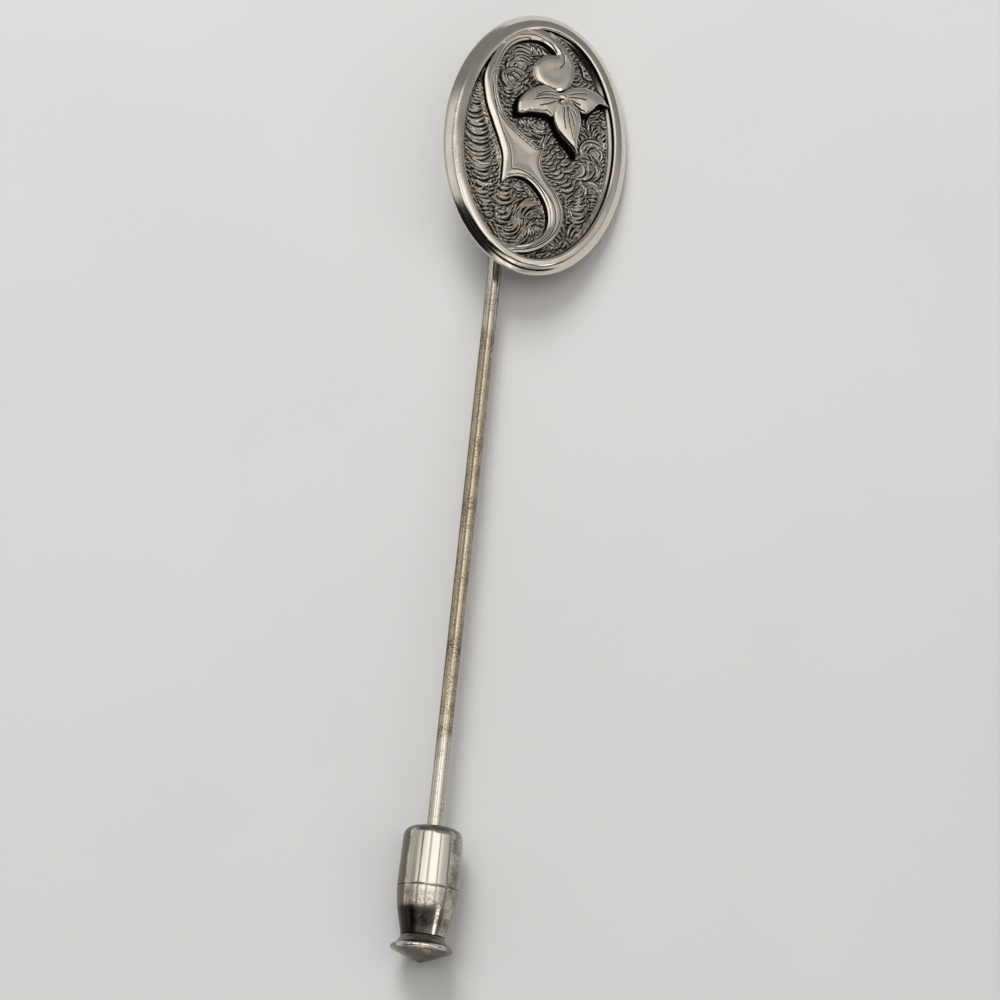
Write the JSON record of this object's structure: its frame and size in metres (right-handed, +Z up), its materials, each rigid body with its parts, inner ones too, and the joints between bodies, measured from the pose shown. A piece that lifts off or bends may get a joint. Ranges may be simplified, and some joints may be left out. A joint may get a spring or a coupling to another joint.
{
  "type": "stick pin",
  "caption": "Oval stick pin with a raised scroll and flower on its rimmed plaque, a long straight wire stem and a pull-to-release clutch on the point.",
  "frame": {"origin": "on the surface the pin lies on, under the middle of its box", "axes": "+Z up, +Y along the pin towards the head, +X to the right as the ornament is seen from the point's end"},
  "size_m": [0.0126, 0.0644, 0.0052],
  "materials": {
    "aged_silver": "satin polished silver on the rim, scroll and flower, with dark oxide left in the cut ground",
    "nickel_silver_wire": "drawn wire, bright, with a brassy tarnish along the middle",
    "plated_clutch": "worn bright plating with a warm cast and small blotches"
  },
  "bodies": {
    "pin": {"head": "aged_silver", "stem": "nickel_silver_wire"},
    "clutch": {"clutch_sleeve": "plated_clutch", "clutch_barrel": "plated_clutch"},
    "knob": {"clutch_knob": "plated_clutch"}
  },
  "joints": [
    {"name": "clutch_slide", "type": "slide", "parent": "pin", "child": "clutch", "axis": [0, -0.9998, 0.0182], "range_m": [0, 0.03]},
    {"name": "knob_pull", "type": "slide", "parent": "clutch", "child": "knob", "axis": [0, -0.9998, 0.0182], "range_m": [0, 0.001], "stiffness_N_per_m": 500, "springref_m": -0.0005}
  ]
}
